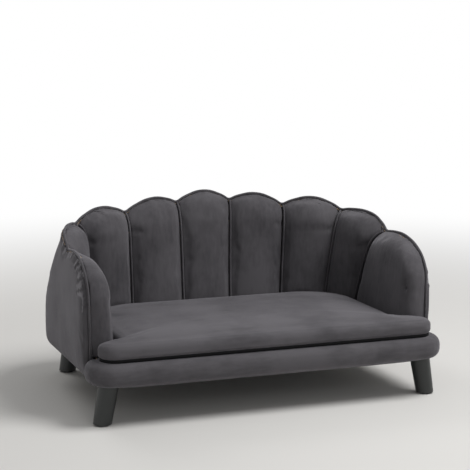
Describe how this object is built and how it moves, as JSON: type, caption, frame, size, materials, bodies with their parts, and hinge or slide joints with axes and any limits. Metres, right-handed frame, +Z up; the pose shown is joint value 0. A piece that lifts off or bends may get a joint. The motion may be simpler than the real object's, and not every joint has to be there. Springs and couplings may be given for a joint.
{
  "type": "dog bed",
  "caption": "Low upholstered pet sofa with a scalloped, channelled tub back, a lift-out T-shaped seat cushion and splayed round legs.",
  "frame": {"origin": "on the floor, below the middle of the overall box", "axes": "+Z up, +X to the right seen from in front, -Y towards the open front"},
  "size_m": [0.944, 0.6679, 0.4938],
  "materials": {
    "velvet": "short charcoal velvet pile with a soft sheen",
    "velvet_piping": "velvet-covered piping cord",
    "black_leg": "satin black lacquer on turned wood",
    "black_base_fabric": "matt black non-slip fabric",
    "foam": "open-cell foam",
    "zip_tape": "woven coil zip tape",
    "panel": "plain wood panel",
    "bent_board": "bent plywood",
    "black_lining": "non-woven dust cover",
    "zinc_steel": "zinc plated",
    "dark_metal": "dark painted zinc",
    "glide_plastic": "matt plastic",
    "timber": "sawn pine"
  },
  "bodies": {
    "root": {"base_cover": "velvet", "channel_piping_left_1": "velvet_piping", "channel_piping_left_2": "velvet_piping", "channel_piping_left_3": "velvet_piping", "channel_piping_left_4": "velvet_piping", "channel_piping_right_1": "velvet_piping", "channel_piping_right_2": "velvet_piping", "channel_piping_right_3": "velvet_piping", "channel_piping_right_4": "velvet_piping", "corner_block_front_left": "timber", "corner_block_front_right": "timber", "corner_block_rear_left": "timber", "corner_block_rear_right": "timber", "cross_slats": "timber", "deck": "panel", "deck_screws": "zinc_steel", "dust_cover": "black_lining", "front_rail": "timber", "hanger_bolts": "zinc_steel", "leg_front_left": "black_leg", "leg_front_right": "black_leg", "leg_glides": "glide_plastic", "leg_nuts": "zinc_steel", "leg_rear_left": "black_leg", "leg_rear_right": "black_leg", "outer_cover": "velvet", "petal_arm_left": "velvet", "petal_arm_right": "velvet", "petal_back_inner_left": "velvet", "petal_back_inner_right": "velvet", "petal_back_outer_left": "velvet", "petal_back_outer_right": "velvet", "petal_centre": "velvet", "petal_corner_left": "velvet", "petal_corner_right": "velvet", "rear_rail": "timber", "rim_piping": "velvet_piping", "shell_board": "bent_board", "shell_bolts": "zinc_steel", "shell_lining": "foam", "shell_washers": "zinc_steel", "side_rail_left": "timber", "side_rail_right": "timber"},
    "cushion": {"cushion_base": "black_base_fabric", "cushion_cover": "velvet", "cushion_foam": "foam", "cushion_zip": "zip_tape"},
    "slider": {"zip_slider": "dark_metal", "zip_pull": "dark_metal"}
  },
  "joints": [
    {"name": "cushion_lift", "type": "slide", "parent": "root", "child": "cushion", "axis": [0, -0.9397, 0.342], "range_m": [0, 0.3]},
    {"name": "zip_slide", "type": "slide", "parent": "cushion", "child": "slider", "axis": [1, 0, 0], "range_m": [0, 0.416]}
  ]
}
